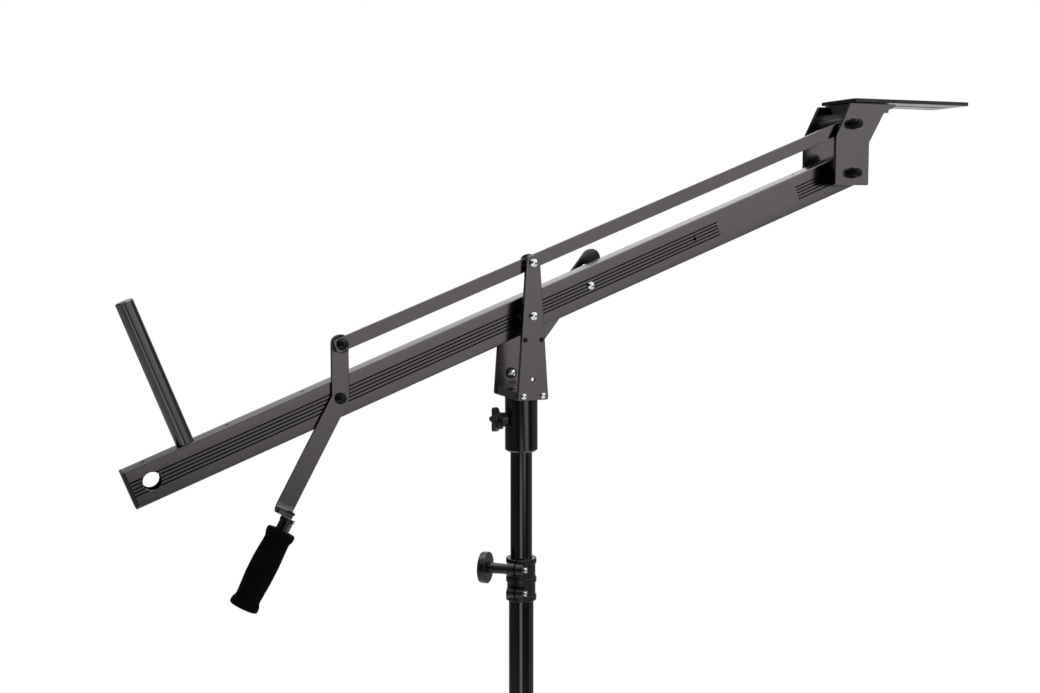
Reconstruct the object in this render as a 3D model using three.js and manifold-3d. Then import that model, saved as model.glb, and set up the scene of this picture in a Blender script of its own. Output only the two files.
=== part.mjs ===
import * as THREE from "three";
import { mergeVertices } from "three/addons/utils/BufferGeometryUtils.js";
import Module from "manifold-3d";

// A camera jib crane on a light stand. Millimetres, the floor is z = 0, the camera head is on the +X side.

// Clearances
const fitGap = 0.3; // between two pieces that touch
const swingGap = 0.5; // between two pieces that turn on each other
const overrun = 5; // how far a cutting shape runs past what it cuts
const edgeBevel = 0.7; // broken edge of plates and bars

// Boom
const fulcrumHeight = 1300;
const boomTilt = THREE.MathUtils.degToRad(21.33);
const boomTailReach = 622; // fulcrum to the tail end
const boomHeadMargin = 23.9; // from the head's pivot to the head end
const boomWidth = 31.75;
const boomHeight = 54.6;
const boomWall = 3.2;
const boomCorner = 2.2;
const grooveCount = 5;
const groovePitch = 4.9;
const grooveWidth = 2;
const grooveDepth = 1.4;
const tailHoleDiameter = 26;
const tailHoleInset = 34; // from the tail end to the centre of the hole
const smallHoleDiameter = 6;
const topHoleStations = [-588.6, -465.2, -348.7, 518.8];
const capThickness = 5;
const capLip = 0.6; // proud of the boom all round
const capPlug = 10;
const capCorner = 5;

// Parallelogram
const headPivotReach = 594.6; // fulcrum to the head's pivot
const leverPivotReach = 306.7; // fulcrum to the lever's pivot
const crankLength = 78.1; // between the two pivots of yoke, lever and head
const pivotBolt = 8;
const linkHeight = 19.5;
const linkThickness = 6;
const linkEndMargin = 11;

// Gap between the yoke's plates, from the near plate to the far one
const plateThickness = 6.35;
const plateSpan = 82.55; // inside the plates
const nearGap = 25.4; // near plate to boom
const linkSetback = 4.6; // near plate to link
const strapThickness = 6;

// Rear lever
const strapWidth = 25.4;
const leverKink = THREE.MathUtils.degToRad(28.4);
const leverDrop = 182; // boom pivot to the flange's underside
const flangeReach = 15;
const leverDiscDiameter = 27;
const bendRadius = 5;
const handleDiameter = 20;
const handleSideOffset = 8;
const handleFrontOffset = 10; // in front of the strap's near face
const gripStart = 202; // below the boom pivot
const gripLength = 118.5;
const gripDiameter = 37;
const gripCollar = 42;
const gripCollarLength = 9;
const gripFlareLength = 7;

// Weight rod
const weightRodInset = 95; // from the boom's tail end
const weightRodDiameter = 25.4;
const weightRodLength = 212;
const weightRodChamfer = 1.5;

// Yoke
const yokeDrop = 125; // fulcrum to the plates' lower edge
const nearPlateTopRadius = 11;
const nearPlateFootHalf = 24.5;
const farPlateTopRadius = 18;
const farPlateFootHalf = 27;
const plateCorner = 3;
const blockThickness = 12.7;
const blockHalf = 24.5;
const sightHoleDrop = 94;
const recessDrop = 35.3;
const recessSide = 13;
const recessDiameter = 7.5;
const recessDepth = 2.2;
const footScrewSide = 15.4;
const footScrewDrop = 118.7;
const spacerDiameter = 23;
const linkNutDiameter = 26;
const linkNutThickness = 5;

// Fasteners
const screwHead = 10;
const screwHeadHeight = 3.4;
const screwShank = 5;
const screwDepth = 16;
const boltHead = 14;
const boltHeadHeight = 5;
const capRimWidth = 1.5; // black capped bolts of lever and head
const capRimThickness = 3;
const capRise = 4;
const leverCapWidth = 14;
const leverCapHeight = 12;
const headCapWidth = 15;
const headCapHeight = 19;
const socketWidth = 4.4;
const socketDepth = 2;
const nutWidth = 13;
const nutThickness = 6.5;

// Brake strut beside the boom
const clampStation = 114.9; // fulcrum to clamp bolt
const strutPivotDrop = 93; // fulcrum to the strut's pivot
const strutWidth = 31;
const strutThickness = 5;
const strutLength = 222; // pivot to the centre of the strut's upper end
const slotStart = 111.8; // pivot to the centres of the slot's ends
const slotEnd = 203.6;
const slotWidth = 11.5;
const clampHead = 13.5;
const clampHubDiameter = 22;
const clampHubLength = 15;
const paddleLength = 62;
const paddleThickness = 8;
const paddleHalf = 12.7;
const paddleRootHalf = 8;

// Head
const headFoot = 19.5; // head pivot to the plates' lower edge
const headFrontHalf = 31.3;
const headBackHalf = 32.6;
const headShoulder = 49;
const headBackShoulder = 57.7;
const headNeckX = 59.7;
const headNeckZ = 98.3;
const headTop = 111;
const headTopBackX = -5.2;
const headTopFrontX = 81;
const headTopLip = 3.5;
const crossBlockStart = 6;
const crossBlockEnd = 72;
const crossBlockThickness = 15;
const topPlateRise = 2; // shadow gap over the side plates
const topPlateThickness = 6; // of the camera plate too
const topPlateStart = 2;
const topPlateEnd = 78.5;
const lapLength = 31;
const lapThickness = 3;
const cameraPlateEnd = 229;
const cameraPlateCorner = 6;
const cameraSlotStart = 112;
const cameraSlotEnd = 214;
const cameraSlotWidth = 10;

// Stand column
const sleeveDiameter = 50;
const sleeveLength = 82;
const sleeveChamfer = 2.5;
const riserDiameter = 33.4;
const riserWall = 2;
const riserLength = 720;
const lowerTubeDiameter = 38.1;
const lowerTubeWall = 2;
const starKnobDrop = 158.5;
const starKnobDiameter = 39;
const starKnobThickness = 11;
const starKnobNeck = 9;
const starLobes = 5;
const starLobeShare = 0.26;
const knobStud = 6;
const collarTopDrop = 371.7;
const collarHeight = 65;
const collarTurn = THREE.MathUtils.degToRad(-39.5); // its knob points back and left
const collarBody = 43.5;
const collarRim = 46.8;
const collarRimHeight = 8;
const collarMidDrop = 33;
const collarSeat = 37; // from the collar's top to the lower tube's end
const upperBossDiameter = 19.5;
const lowerBossDiameter = 15.5;
const upperBossDrop = 14;
const lowerBossDrop = 49.9;
const bossFront = 24; // bosses in front of the column's axis
const bossLength = 26.5;
const bossShift = -1;
const slitWidth = 2.4;
const roundKnobDiameter = 48;
const roundKnobThickness = 12;
const roundKnobRound = 4;
const roundKnobFace = 55.5; // from the collar's middle
const roundKnobNeckDiameter = 17;

// Folding base
const legCount = 3;
const legPivotHeight = 420;
const legPivotRadius = 36;
const legSpread = THREE.MathUtils.degToRad(52);
const legDiameter = 22;
const legWall = 1.5;
const legStrutPoint = 290; // leg pivot to strut pivot, and the strut's own length
const legTongueThickness = 12;
const legTongueHalf = 8;
const legTongueLength = 26;
const legPin = 6;
const cheekThickness = 4;
const hubHeight = 34;
const lugShare = 1 / 3; // of the hub's height, to either side of a lug's middle
const hubWall = 5;
const ringHeight = 24;
const strutBarWidth = 14;
const strutBarThickness = 4;
const footLength = 34;
const footWall = 3;
const hubKnobDiameter = 34;
const hubKnobReach = 52;
const tubeStub = 11; // the lower tube's end below the strut ring

// Roundness
const fineRound = 32;
const mediumRound = 22;
const smallRound = 14;
const cornerSteps = 3;

// Derived positions
const plateInner = plateSpan / 2;
const plateOuter = plateInner + plateThickness;
const boomNear = nearGap - plateInner;
const boomFar = boomNear + boomWidth;
const linkNear = linkSetback - plateInner;
const linkFar = linkNear + linkThickness;
const strapFar = boomNear - swingGap;
const strapNear = strapFar - strapThickness;
const boltHole = pivotBolt / 2 + fitGap;
const boomHeadReach = headPivotReach + boomHeadMargin;

const wasm = await Module();
wasm.setup();

const finishes = {
  satin: [0x57524f, 0.34, 0.75],
  gloss: [0x17161a, 0.22, 0.35],
  plastic: [0x121214, 0.5, 0],
  foam: [0x1b1a1b, 0.95, 0],
  chrome: [0xd6d6d8, 0.18, 1],
  rubber: [0x1e1e1f, 0.85, 0],
};

function meshOf(name, geometry, finish) {
  const [color, roughness, metalness] = finishes[finish];
  const mesh = new THREE.Mesh(
    geometry,
    new THREE.MeshStandardMaterial({ color, roughness, metalness }),
  );
  mesh.name = name;
  return mesh;
}

// Solid work: joins and cuts
function solidOf(geometry) {
  const plain = geometry.clone();
  plain.deleteAttribute("normal");
  plain.deleteAttribute("uv");
  const merged = mergeVertices(plain);
  const vertProperties = new Float32Array(merged.attributes.position.array);
  const triVerts = new Uint32Array(merged.index.array);
  return new wasm.Manifold(new wasm.Mesh({ numProp: 3, vertProperties, triVerts }));
}

function geometryOf(solid) {
  const made = solid.getMesh();
  const geometry = new THREE.BufferGeometry();
  geometry.setAttribute("position", new THREE.BufferAttribute(made.vertProperties, 3));
  geometry.setIndex(new THREE.BufferAttribute(made.triVerts, 1));
  const flat = geometry.toNonIndexed();
  flat.computeVertexNormals();
  return flat;
}

function joined(...pieces) {
  return geometryOf(pieces.map(solidOf).reduce((all, piece) => all.add(piece)));
}

function cut(base, tools) {
  return geometryOf(tools.map(solidOf).reduce((rest, tool) => rest.subtract(tool), solidOf(base)));
}

function common(one, other) {
  return geometryOf(solidOf(one).intersect(solidOf(other)));
}

// Turned pieces: a profile of [radius, station] that rises along the axis
function turnedY(profile, around = mediumRound) {
  const points = profile.map(([radius, station]) => new THREE.Vector2(radius, station));
  return new THREE.LatheGeometry(points, around);
}

function turnedZ(profile, around = mediumRound) {
  return turnedY(profile, around).rotateX(Math.PI / 2);
}

function turnedX(profile, around = mediumRound) {
  return turnedY(profile, around).rotateZ(-Math.PI / 2);
}

function rod(radius, from, to) {
  return [
    [0, from],
    [radius, from],
    [radius, to],
    [0, to],
  ];
}

function tube(outer, inner, from, to) {
  return [
    [inner, from],
    [outer, from],
    [outer, to],
    [inner, to],
    [inner, from],
  ];
}

// Flat outlines
function roundedPoints(corners) {
  const points = [];
  corners.forEach(([x, z, radius = 0], index) => {
    const corner = new THREE.Vector2(x, z);
    const before = corners[(index + corners.length - 1) % corners.length];
    const after = corners[(index + 1) % corners.length];
    const toBefore = new THREE.Vector2(before[0], before[1]).sub(corner).normalize();
    const toAfter = new THREE.Vector2(after[0], after[1]).sub(corner).normalize();
    if (radius === 0) {
      points.push(corner);
      return;
    }
    const half = Math.acos(THREE.MathUtils.clamp(toBefore.dot(toAfter), -1, 1)) / 2;
    const bisector = toBefore.clone().add(toAfter).normalize();
    const centre = corner.clone().addScaledVector(bisector, radius / Math.sin(half));
    const start = corner.clone().addScaledVector(toBefore, radius / Math.tan(half)).sub(centre);
    const end = corner.clone().addScaledVector(toAfter, radius / Math.tan(half)).sub(centre);
    const from = start.angle();
    const sweep = ((end.angle() - from + 3 * Math.PI) % (2 * Math.PI)) - Math.PI;
    for (let step = 0; step <= cornerSteps; step += 1) {
      const angle = from + (sweep * step) / cornerSteps;
      points.push(new THREE.Vector2(Math.cos(angle), Math.sin(angle)).multiplyScalar(radius).add(centre));
    }
  });
  return points;
}

function circlePoints(x, z, radius, around = smallRound) {
  return Array.from({ length: around }, (_, step) => {
    const angle = (2 * Math.PI * step) / around;
    return new THREE.Vector2(x + radius * Math.cos(angle), z + radius * Math.sin(angle));
  });
}

// A stadium or a taper: round ends of two radii on one line, from the lower point to the upper one
function taperPoints(low, lowRadius, high, highRadius, around = smallRound) {
  const from = new THREE.Vector2(...low);
  const to = new THREE.Vector2(...high);
  const heading = to.clone().sub(from).angle();
  const lean = Math.asin((lowRadius - highRadius) / from.distanceTo(to));
  const half = around / 2;
  const points = [];
  [
    [to, highRadius, -Math.PI / 2 + lean, Math.PI - 2 * lean],
    [from, lowRadius, Math.PI / 2 - lean, Math.PI + 2 * lean],
  ].forEach(([centre, radius, start, sweep]) => {
    for (let step = 0; step <= half; step += 1) {
      const angle = heading + start + (sweep * step) / half;
      points.push(new THREE.Vector2(Math.cos(angle), Math.sin(angle)).multiplyScalar(radius).add(centre));
    }
  });
  return points;
}

function extruded(points, holes, thickness, bevel) {
  const shape = new THREE.Shape(points);
  shape.holes = holes.map((hole) => new THREE.Path(hole));
  const geometry = new THREE.ExtrudeGeometry(shape, {
    depth: thickness - 2 * bevel,
    bevelEnabled: bevel > 0,
    bevelThickness: bevel,
    bevelSize: bevel,
    bevelOffset: -bevel,
    bevelSegments: 1,
  });
  return geometry.translate(0, 0, bevel);
}

// An upright plate in the XZ plane, from near to near + thickness
function upright(points, holes, near, thickness, bevel = edgeBevel) {
  return extruded(points, holes, thickness, bevel)
    .rotateX(Math.PI / 2)
    .translate(0, near + thickness, 0);
}

// A level plate in the XY plane, from base to base + thickness
function level(points, holes, base, thickness, bevel = edgeBevel) {
  return extruded(points, holes, thickness, bevel).translate(0, 0, base);
}

// A profile in the YZ plane drawn out along X
function drawnAlongX(points, holes, start, length, bevel = 0) {
  const turn = new THREE.Matrix4().makeBasis(
    new THREE.Vector3(0, 1, 0),
    new THREE.Vector3(0, 0, 1),
    new THREE.Vector3(1, 0, 0),
  );
  return extruded(points, holes, length, bevel).applyMatrix4(turn).translate(start, 0, 0);
}

function rectangle(left, low, right, high, radius = 0) {
  return roundedPoints([
    [left, low, radius],
    [right, low, radius],
    [right, high, radius],
    [left, high, radius],
  ]);
}

function box(from, to) {
  const size = new THREE.Vector3().subVectors(to, from);
  const middle = new THREE.Vector3().addVectors(from, to).multiplyScalar(1 / 2);
  return new THREE.BoxGeometry(...size).translate(...middle);
}

function boreY(x, z, radius, from, to, around = smallRound) {
  return turnedY(rod(radius, from, to), around).translate(x, 0, z);
}

// The quarter arc of a dome whose top is at y = -height
function domeArc(radius, height, rise = height) {
  return Array.from({ length: cornerSteps + 1 }, (_, step) => {
    const angle = (Math.PI / 2) * (step / cornerSteps);
    return [radius * Math.sin(angle), rise - height - rise * Math.cos(angle)];
  });
}

// A domed screw along +Y: its head's seat is at y = 0 and the head rises towards -Y, with a hexagon socket
function domedScrew(headDiameter, headHeight, shankDiameter, length) {
  const profile = [...domeArc(headDiameter / 2, headHeight), ...shank(shankDiameter, length)];
  const socket = turnedY(rod(socketWidth / 2, -headHeight - overrun, socketDepth - headHeight), 6);
  return cut(turnedY(profile, smallRound), [socket]);
}

function shank(diameter, length) {
  return [
    [diameter / 2, 0],
    [diameter / 2, length],
    [0, length],
  ];
}

// A bolt under a tall smooth cap that stands on its own washer
function cappedBolt(length, width, height) {
  const rimRadius = width / 2 + capRimWidth;
  const profile = [
    ...domeArc(width / 2, height, capRise),
    [width / 2, -capRimThickness],
    [rimRadius - edgeBevel, -capRimThickness],
    [rimRadius, edgeBevel - capRimThickness],
    [rimRadius, 0],
    ...shank(pivotBolt, length),
  ];
  return turnedY(profile, smallRound);
}

// A round nut or washer on a bolt that ends inside it
function ringOn(outerDiameter, boreDiameter, from, to, around = mediumRound) {
  return turnedY(tube(outerDiameter / 2, boreDiameter / 2 + fitGap, from, to), around);
}

function hexNut(acrossFlats, boreDiameter, from, to) {
  const corner = acrossFlats / 2 / Math.cos(Math.PI / 6);
  const bore = circlePoints(0, 0, boreDiameter / 2 + fitGap);
  return upright(circlePoints(0, 0, corner, 6), [bore], from, to - from);
}

function group(parent, x, y, z) {
  const made = new THREE.Group();
  made.position.set(x, y, z);
  parent.add(made);
  return made;
}

function addAt(parent, name, x, y, z, geometry, finish = "chrome") {
  const mesh = meshOf(name, geometry, finish);
  mesh.position.set(x, y, z);
  parent.add(mesh);
}

// Where a station on the tilted boom's centreline is
function onBoom(station) {
  return [station * Math.cos(boomTilt), 0, fulcrumHeight + station * Math.sin(boomTilt)];
}

const crane = new THREE.Group();

// Boom: a grooved rectangular tube with caps
function boomSection() {
  const half = boomHeight / 2;
  const outline = [];
  const grooveSide = (face, inward, direction) => {
    for (let groove = 0; groove < grooveCount; groove += 1) {
      const middle = direction * groovePitch * (groove - (grooveCount - 1) / 2);
      const edge = (direction * grooveWidth) / 2;
      outline.push(
        [face, middle - edge],
        [face + inward * grooveDepth, middle - edge],
        [face + inward * grooveDepth, middle + edge],
        [face, middle + edge],
      );
    }
  };
  outline.push([boomNear, -half, boomCorner], [boomFar, -half, boomCorner]);
  grooveSide(boomFar, -1, 1);
  outline.push([boomFar, half, boomCorner], [boomNear, half, boomCorner]);
  grooveSide(boomNear, 1, -1);
  return roundedPoints(outline);
}

function boomHollow(gap) {
  const inset = boomWall + gap;
  const half = boomHeight / 2 - inset;
  return rectangle(boomNear + inset, -half, boomFar - inset, half, boomCorner);
}

const boom = group(crane, 0, 0, fulcrumHeight);
boom.rotation.y = -boomTilt;
const beamInset = capThickness + fitGap;
const beamLength = boomTailReach + boomHeadReach - 2 * beamInset;
const beam = drawnAlongX(boomSection(), [boomHollow(0)], beamInset - boomTailReach, beamLength);
const crossBores = [
  [tailHoleInset - boomTailReach, tailHoleDiameter / 2, mediumRound],
  [-leverPivotReach, boltHole, smallRound],
  [0, boltHole, smallRound],
  [clampStation, boltHole, smallRound],
  [leverPivotReach, smallHoleDiameter / 2, smallRound],
  [headPivotReach, boltHole, smallRound],
].map(([station, radius, around]) => {
  return boreY(station, 0, radius, boomNear - overrun, boomFar + overrun, around);
});
const boomMiddle = (boomNear + boomFar) / 2;
const topBores = topHoleStations.map((station) =>
  turnedZ(rod(smallHoleDiameter / 2, 0, boomHeight), smallRound).translate(station, boomMiddle, 0),
);
boom.add(meshOf("boom_beam", cut(beam, [...crossBores, ...topBores]), "satin"));

function boomCap() {
  const half = boomHeight / 2 + capLip;
  const outline = rectangle(boomNear - capLip, -half, boomFar + capLip, half, capCorner);
  const flange = drawnAlongX(outline, [], 0, capThickness, edgeBevel);
  const plug = drawnAlongX(boomHollow(fitGap), [], capThickness / 2, capPlug);
  return joined(flange, plug);
}

[
  ["boom_tail_cap", -boomTailReach],
  ["boom_head_cap", boomHeadReach],
].forEach(([name, end]) => {
  const cap = meshOf(name, boomCap(), "plastic");
  cap.position.x = end;
  cap.scale.x = -Math.sign(end);
  boom.add(cap);
});

// Weight rod on the boom's tail
const weightRod = meshOf(
  "weight_rod",
  turnedZ([
    [0, 0],
    [weightRodDiameter / 2, 0],
    [weightRodDiameter / 2, weightRodLength - weightRodChamfer],
    [weightRodDiameter / 2 - weightRodChamfer, weightRodLength],
    [0, weightRodLength],
  ], fineRound),
  "gloss",
);
weightRod.position.set(weightRodInset - boomTailReach, boomMiddle, boomHeight / 2 + fitGap);
boom.add(weightRod);

// Rear lever: hangs on the boom and keeps upright
const lever = group(crane, ...onBoom(-leverPivotReach));
const strapHalf = strapWidth / 2;
const bendStart = leverDrop - strapThickness - bendRadius;
const leverUpper = upright(
  taperPoints([0, 0], strapHalf, [0, crankLength], strapHalf, mediumRound),
  [],
  strapNear,
  strapThickness,
);
const leverLower = upright(
  rectangle(-strapHalf, -bendStart, strapHalf, 0),
  [],
  strapNear,
  strapThickness,
  0,
);
const bendOuter = bendRadius + strapThickness;
const bendCentre = new THREE.Vector2(strapNear - bendRadius, -bendStart);
const bendArc = (radius, towardsFlange) =>
  Array.from({ length: cornerSteps + 1 }, (_, step) => {
    const share = towardsFlange ? step / cornerSteps : 1 - step / cornerSteps;
    const angle = (-Math.PI / 2) * share;
    return new THREE.Vector2(Math.cos(angle), Math.sin(angle)).multiplyScalar(radius).add(bendCentre);
  });
const flangeEnd = strapNear - flangeReach;
const bendProfile = [
  new THREE.Vector2(strapNear, -bendStart + overrun),
  ...bendArc(bendRadius, true),
  new THREE.Vector2(flangeEnd, -leverDrop + strapThickness),
  new THREE.Vector2(flangeEnd, -leverDrop),
  ...bendArc(bendOuter, false),
  new THREE.Vector2(strapFar, -bendStart + overrun),
];
const leverFoot = common(
  drawnAlongX(bendProfile, [], -strapHalf, strapWidth),
  level(
    roundedPoints([
      [-strapHalf, flangeEnd, plateCorner],
      [strapHalf, flangeEnd, plateCorner],
      [strapHalf, strapFar],
      [-strapHalf, strapFar],
    ]),
    [],
    -leverDrop - overrun,
    leverDrop,
    0,
  ),
);
const leverHoles = [0, crankLength].map((z) => {
  return boreY(0, z, boltHole, strapNear - overrun, strapFar + overrun);
});
lever.add(
  meshOf(
    "lever_strap",
    cut(joined(leverUpper, joined(leverLower, leverFoot).rotateY(leverKink)), leverHoles),
    "satin",
  ),
);

// The handle hangs under the lever's flange
const handle = group(lever, 0, 0, 0);
handle.rotation.y = leverKink;
const handleEnd = gripStart + gripLength - edgeBevel;
const handleRod = meshOf(
  "handle_rod",
  turnedZ([
    [0, -handleEnd],
    [handleDiameter / 2 - edgeBevel, -handleEnd],
    [handleDiameter / 2, -handleEnd + edgeBevel],
    [handleDiameter / 2, -leverDrop - fitGap],
    [0, -leverDrop - fitGap],
  ]),
  "gloss",
);
const gripRadius = gripDiameter / 2;
const collarRadius = gripCollar / 2;
const gripEnd = gripStart + gripLength;
const foamGrip = meshOf(
  "foam_grip",
  turnedZ([
    [handleDiameter / 2 + fitGap, -gripEnd],
    [collarRadius - edgeBevel, -gripEnd],
    [collarRadius, -gripEnd + edgeBevel],
    [collarRadius, -gripEnd + gripCollarLength],
    [gripRadius, -gripEnd + gripCollarLength + gripFlareLength],
    [gripRadius, -gripStart - gripCollarLength - gripFlareLength],
    [collarRadius, -gripStart - gripCollarLength],
    [collarRadius, -gripStart - edgeBevel],
    [collarRadius - edgeBevel, -gripStart],
    [handleDiameter / 2 + fitGap, -gripStart],
    [handleDiameter / 2 + fitGap, -gripEnd],
  ], fineRound),
  "foam",
);
[handleRod, foamGrip].forEach((piece) => {
  piece.position.set(handleSideOffset, strapNear - handleFrontOffset, 0);
  handle.add(piece);
});

// The lever's lower bolt goes through the boom, its upper bolt carries the link
const leverBolt = cappedBolt(boomFar - strapNear + nutThickness + fitGap, leverCapWidth, leverCapHeight);
addAt(boom, "lever_lower_bolt", -leverPivotReach, strapNear - fitGap, 0, leverBolt, "plastic");
const boomNut = hexNut(nutWidth, pivotBolt, boomFar + fitGap, boomFar + nutThickness);
addAt(boom, "lever_lower_nut", -leverPivotReach, 0, 0, boomNut);
const leverLinkBolt = cappedBolt(strapFar - linkNear + fitGap, leverCapWidth, leverCapHeight);
addAt(lever, "lever_upper_bolt", 0, linkNear - fitGap, crankLength, leverLinkBolt, "plastic");
const leverDisc = ringOn(leverDiscDiameter, pivotBolt, linkFar + fitGap, strapNear - fitGap);
addAt(lever, "lever_link_disc", 0, 0, crankLength, leverDisc, "plastic");

// Link bar: the parallelogram's upper bar
const link = group(crane, 0, 0, fulcrumHeight + crankLength);
link.rotation.y = -boomTilt;
const linkHalf = linkHeight / 2;
const linkTail = -leverPivotReach - linkEndMargin;
const linkOutline = rectangle(linkTail, -linkHalf, headPivotReach + linkEndMargin, linkHalf, plateCorner);
const linkHoles = [-leverPivotReach, 0, headPivotReach].map((station) => circlePoints(station, 0, boltHole));
link.add(meshOf("link_bar", upright(linkOutline, linkHoles, linkNear, linkThickness), "satin"));

// Yoke
const yoke = group(crane, 0, 0, fulcrumHeight);
function yokePlate(topZ, topRadius, footHalf) {
  const round = circlePoints(0, topZ, topRadius, mediumRound).filter((point) => point.y >= topZ);
  const corners = roundedPoints([
    [-topRadius, topZ],
    [-footHalf, -yokeDrop, plateCorner],
    [footHalf, -yokeDrop, plateCorner],
    [topRadius, topZ],
  ]);
  return [...corners, ...round.filter((point) => point.y > topZ + edgeBevel)];
}

const sightHole = circlePoints(0, -sightHoleDrop, smallHoleDiameter / 2);
const footScrewHoles = [-footScrewSide, footScrewSide].map((x) =>
  circlePoints(x, -footScrewDrop, screwShank / 2 + fitGap),
);
const nearPlate = upright(
  yokePlate(crankLength, nearPlateTopRadius, nearPlateFootHalf),
  [circlePoints(0, 0, boltHole), circlePoints(0, crankLength, boltHole), sightHole, ...footScrewHoles],
  -plateOuter,
  plateThickness,
);
const recesses = [-recessSide, recessSide].map((x) =>
  boreY(x, -recessDrop, recessDiameter / 2, -plateOuter - overrun, recessDepth - plateOuter),
);
yoke.add(meshOf("yoke_near_plate", cut(nearPlate, recesses), "satin"));
yoke.add(
  meshOf(
    "yoke_far_plate",
    upright(
      yokePlate(0, farPlateTopRadius, farPlateFootHalf),
      [circlePoints(0, 0, boltHole), circlePoints(0, -strutPivotDrop, boltHole)],
      plateInner,
      plateThickness,
    ),
    "satin",
  ),
);
const block = level(
  rectangle(-blockHalf, fitGap - plateInner, blockHalf, plateInner - fitGap),
  [],
  -yokeDrop,
  blockThickness,
);
const blockBores = [-footScrewSide, footScrewSide].map((x) =>
  boreY(x, -footScrewDrop, screwShank / 2 + fitGap, -plateInner - overrun, screwDepth - plateInner),
);
yoke.add(meshOf("yoke_base_block", cut(block, blockBores), "satin"));

const footScrew = domedScrew(screwHead, screwHeadHeight, screwShank, screwDepth);
addAt(yoke, "yoke_foot_screw_rear", -footScrewSide, -plateOuter - fitGap, -footScrewDrop, footScrew);
addAt(yoke, "yoke_foot_screw_front", footScrewSide, -plateOuter - fitGap, -footScrewDrop, footScrew);
const throughLength = 2 * plateOuter + nutThickness;
const fulcrumBolt = domedScrew(boltHead, boltHeadHeight, pivotBolt, throughLength);
addAt(yoke, "fulcrum_bolt", 0, -plateOuter - fitGap, 0, fulcrumBolt);
const plateNut = hexNut(nutWidth, pivotBolt, plateOuter + fitGap, plateOuter + nutThickness);
addAt(yoke, "fulcrum_nut", 0, 0, 0, plateNut);
const nearSpacer = ringOn(spacerDiameter, pivotBolt, fitGap - plateInner, boomNear - swingGap);
const farSpacer = ringOn(spacerDiameter, pivotBolt, boomFar + swingGap, plateInner - fitGap);
const linkSpacer = ringOn(spacerDiameter, pivotBolt, fitGap - plateInner, linkNear - swingGap);
addAt(yoke, "fulcrum_near_spacer", 0, 0, 0, nearSpacer, "plastic");
addAt(yoke, "fulcrum_far_spacer", 0, 0, 0, farSpacer, "plastic");
addAt(yoke, "yoke_link_spacer", 0, 0, crankLength, linkSpacer, "plastic");
const linkNutNear = linkFar + swingGap;
const linkNutFar = linkNutNear + linkNutThickness;
const yokeLinkBolt = domedScrew(boltHead, boltHeadHeight, pivotBolt, plateOuter + linkNutFar + fitGap);
addAt(yoke, "yoke_link_bolt", 0, -plateOuter - fitGap, crankLength, yokeLinkBolt);
const linkNut = ringOn(linkNutDiameter, pivotBolt, linkNutNear, linkNutFar);
addAt(yoke, "yoke_link_nut", 0, 0, crankLength, linkNut, "plastic");

// Brake strut: its slot slides on the boom's clamp bolt
const clampPoint = new THREE.Vector2(Math.cos(boomTilt), Math.sin(boomTilt)).multiplyScalar(clampStation);
const strutPivot = new THREE.Vector2(0, -strutPivotDrop);
const strutNear = plateOuter + swingGap;
const strutFar = strutNear + strutThickness;
const strut = group(crane, strutPivot.x, 0, fulcrumHeight + strutPivot.y);
strut.rotation.y = -clampPoint.clone().sub(strutPivot).angle();
const strutOutline = taperPoints([0, 0], strutWidth / 2, [strutLength, 0], strutWidth / 2, mediumRound);
const strutSlot = taperPoints([slotStart, 0], slotWidth / 2, [slotEnd, 0], slotWidth / 2);
const strutBody = upright(strutOutline, [circlePoints(0, 0, boltHole), strutSlot], strutNear, strutThickness);
strut.add(meshOf("brake_strut", strutBody, "satin"));
const strutBoltSeat = plateInner - fitGap;
const strutBolt = domedScrew(boltHead, boltHeadHeight, pivotBolt, strutFar - strutBoltSeat + nutThickness);
addAt(yoke, "brake_strut_bolt", strutPivot.x, strutBoltSeat, strutPivot.y, strutBolt);

// Clamp bolt, its spacer and the clamping lever, which lies behind the boom
const clampNear = strutFar + fitGap;
const clampFar = clampNear + clampHubLength;
const clampBoltEnd = clampFar - edgeBevel;
const clampBolt = domedScrew(clampHead, boltHeadHeight, pivotBolt, clampBoltEnd - boomNear);
addAt(boom, "clamp_bolt", clampStation, boomNear - fitGap, 0, clampBolt);
const clampSpacer = ringOn(spacerDiameter, pivotBolt, boomFar + fitGap, strutNear - fitGap);
addAt(boom, "clamp_spacer", clampStation, 0, 0, clampSpacer, "plastic");
const paddle = upright(
  taperPoints([0, 0], paddleRootHalf, [paddleLength, 0], paddleHalf, mediumRound),
  [],
  clampFar - paddleThickness,
  paddleThickness,
);
const hubCap = turnedY([
  [0, clampNear],
  [clampHubDiameter / 2, clampNear],
  [clampHubDiameter / 2, clampFar + edgeBevel],
  [clampHubDiameter / 2 - edgeBevel, clampFar + 2 * edgeBevel],
  [0, clampFar + 2 * edgeBevel],
]);
const clampBore = boreY(0, 0, boltHole, clampNear - overrun, clampBoltEnd + fitGap);
addAt(boom, "clamp_lever", clampStation, 0, 0, cut(joined(hubCap, paddle), [clampBore]), "plastic");

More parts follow.
